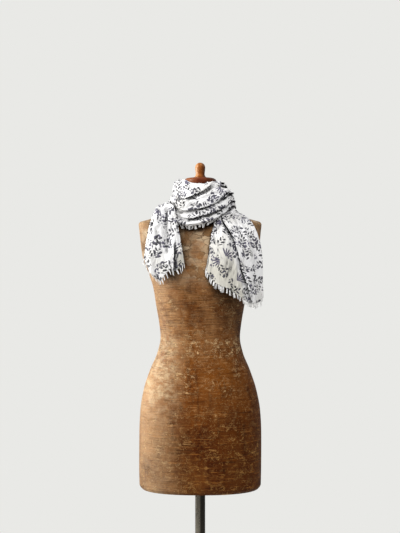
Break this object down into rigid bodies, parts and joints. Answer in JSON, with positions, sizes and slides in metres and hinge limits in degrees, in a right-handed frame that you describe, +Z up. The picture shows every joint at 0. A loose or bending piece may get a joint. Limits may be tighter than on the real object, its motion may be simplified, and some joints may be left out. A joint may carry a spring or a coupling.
{
  "type": "gauze stole on a dress form",
  "caption": "A fringed gauze stole with a small indigo sprig print, wound once round the neck of a limbless papier-mache dress form on a round-footed stand",
  "frame": {"origin": "middle of the foot's flat underside, on the pole's axis", "axes": "+Z up along the pole; the form faces -Y; +X is the viewer's right when looking at the front"},
  "size_m": [0.36, 0.36, 1.2642],
  "materials": {
    "gauze": "thin crinkled cotton gauze, printed all over with small indigo sprigs, edges fringed",
    "form": "old varnished papier-mache, mottled and scratched",
    "turned_wood": "varnished, satin",
    "iron": "dark, satin"
  },
  "bodies": {
    "root": {"form_body": "form", "neck_cap": "turned_wood", "cap_knob": "turned_wood", "pole": "iron", "foot": "iron", "stole_front_wrap": "gauze", "stole_back_wrap": "gauze", "stole_left_tail": "gauze", "stole_inner_wrap": "gauze", "stole_right_tail": "gauze", "fringe_left_tail": "gauze", "fringe_right_tail": "gauze", "fringe_front_wrap": "gauze", "fringe_back_wrap": "gauze"}
  },
  "joints": []
}
